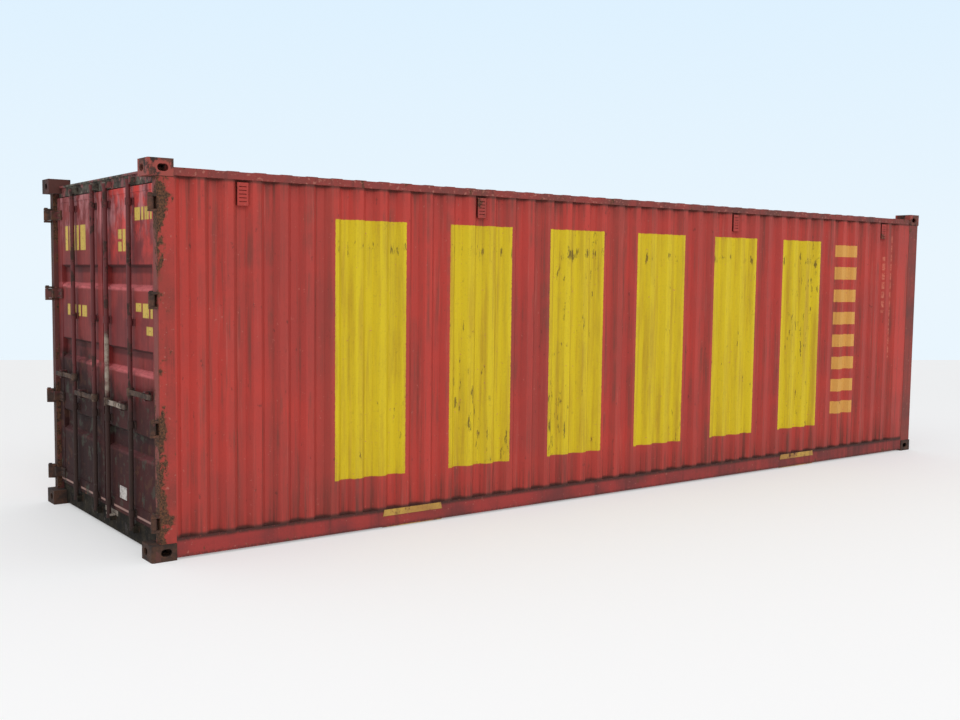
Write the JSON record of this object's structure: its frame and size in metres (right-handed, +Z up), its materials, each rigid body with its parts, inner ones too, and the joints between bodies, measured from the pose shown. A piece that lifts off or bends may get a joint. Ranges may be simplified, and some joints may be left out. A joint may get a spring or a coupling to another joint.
{
  "type": "shipping container",
  "caption": "Corrugated steel bulk freight container with grapple pads, roof hatches and full-height double doors held by locking bars.",
  "frame": {"origin": "centre of the footprint, level with the undersides of the bottom corner castings", "axes": "+X along the length towards the front wall, the doors at the -X end, +Z up"},
  "size_m": [9.125, 2.5, 2.743],
  "materials": {
    "side_paint": "worn matt red paint",
    "door_paint": "faded dull red paint, dirty low down",
    "rusty_steel": "rusted dark paint",
    "bar_steel": "worn paint over galvanised steel",
    "yellow_paint": "worn yellow paint",
    "black_rubber": "matt",
    "floor_wood": "worn plywood"
  },
  "bodies": {
    "container": {"corner_castings_bottom": "rusty_steel", "corner_castings_top": "rusty_steel", "rear_corner_posts": "rusty_steel", "front_corner_posts": "side_paint", "bottom_side_rails": "side_paint", "top_side_rails": "side_paint", "door_header": "side_paint", "door_sill": "rusty_steel", "front_top_rail": "side_paint", "front_bottom_rail": "side_paint", "right_side_wall": "side_paint", "left_side_wall": "side_paint", "front_wall": "side_paint", "floor_deck": "floor_wood", "floor_cross_members": "rusty_steel", "roof_panel": "side_paint", "roof_corner_plates": "side_paint", "roof_hatch_coamings": "side_paint", "roof_hatch_lids": "side_paint", "side_vents": "side_paint", "grapple_pads": "yellow_paint", "sill_keepers": "rusty_steel", "header_keepers": "rusty_steel", "hinge_lugs": "rusty_steel", "hinge_pins": "rusty_steel"},
    "right_door": {"right_door_frame": "door_paint", "right_door_panel": "door_paint", "right_door_gasket": "black_rubber", "right_hinge_blades": "rusty_steel", "right_bar_guides": "rusty_steel", "right_handle_catches": "rusty_steel"},
    "right_inner_lock": {"right_inner_lock_bar": "bar_steel", "right_inner_handle": "bar_steel"},
    "right_outer_lock": {"right_outer_lock_bar": "bar_steel", "right_outer_handle": "bar_steel"},
    "left_door": {"left_door_frame": "door_paint", "left_door_panel": "door_paint", "left_door_gasket": "black_rubber", "left_hinge_blades": "rusty_steel", "left_bar_guides": "rusty_steel", "left_handle_catches": "rusty_steel"},
    "left_inner_lock": {"left_inner_lock_bar": "bar_steel", "left_inner_handle": "bar_steel"},
    "left_outer_lock": {"left_outer_lock_bar": "bar_steel", "left_outer_handle": "bar_steel"}
  },
  "joints": [
    {"name": "right_door_hinge", "type": "hinge", "parent": "container", "child": "right_door", "pos_m": [-4.5405, -1.228, 1.355], "axis": [0, 0, 1], "range_deg": [0, 270]},
    {"name": "right_inner_lock_turn", "type": "hinge", "parent": "right_door", "child": "right_inner_lock", "pos_m": [-4.4935, -0.153, 1], "axis": [0, 0, 1], "range_deg": [-90, 0]},
    {"name": "right_outer_lock_turn", "type": "hinge", "parent": "right_door", "child": "right_outer_lock", "pos_m": [-4.4935, -0.662, 1.12], "axis": [0, 0, 1], "range_deg": [-90, 0]},
    {"name": "left_door_hinge", "type": "hinge", "parent": "container", "child": "left_door", "pos_m": [-4.5405, 1.228, 1.355], "axis": [0, 0, -1], "range_deg": [0, 270]},
    {"name": "left_inner_lock_turn", "type": "hinge", "parent": "left_door", "child": "left_inner_lock", "pos_m": [-4.4935, 0.153, 1], "axis": [0, 0, -1], "range_deg": [-90, 0]},
    {"name": "left_outer_lock_turn", "type": "hinge", "parent": "left_door", "child": "left_outer_lock", "pos_m": [-4.4935, 0.662, 1.12], "axis": [0, 0, -1], "range_deg": [-90, 0]}
  ]
}
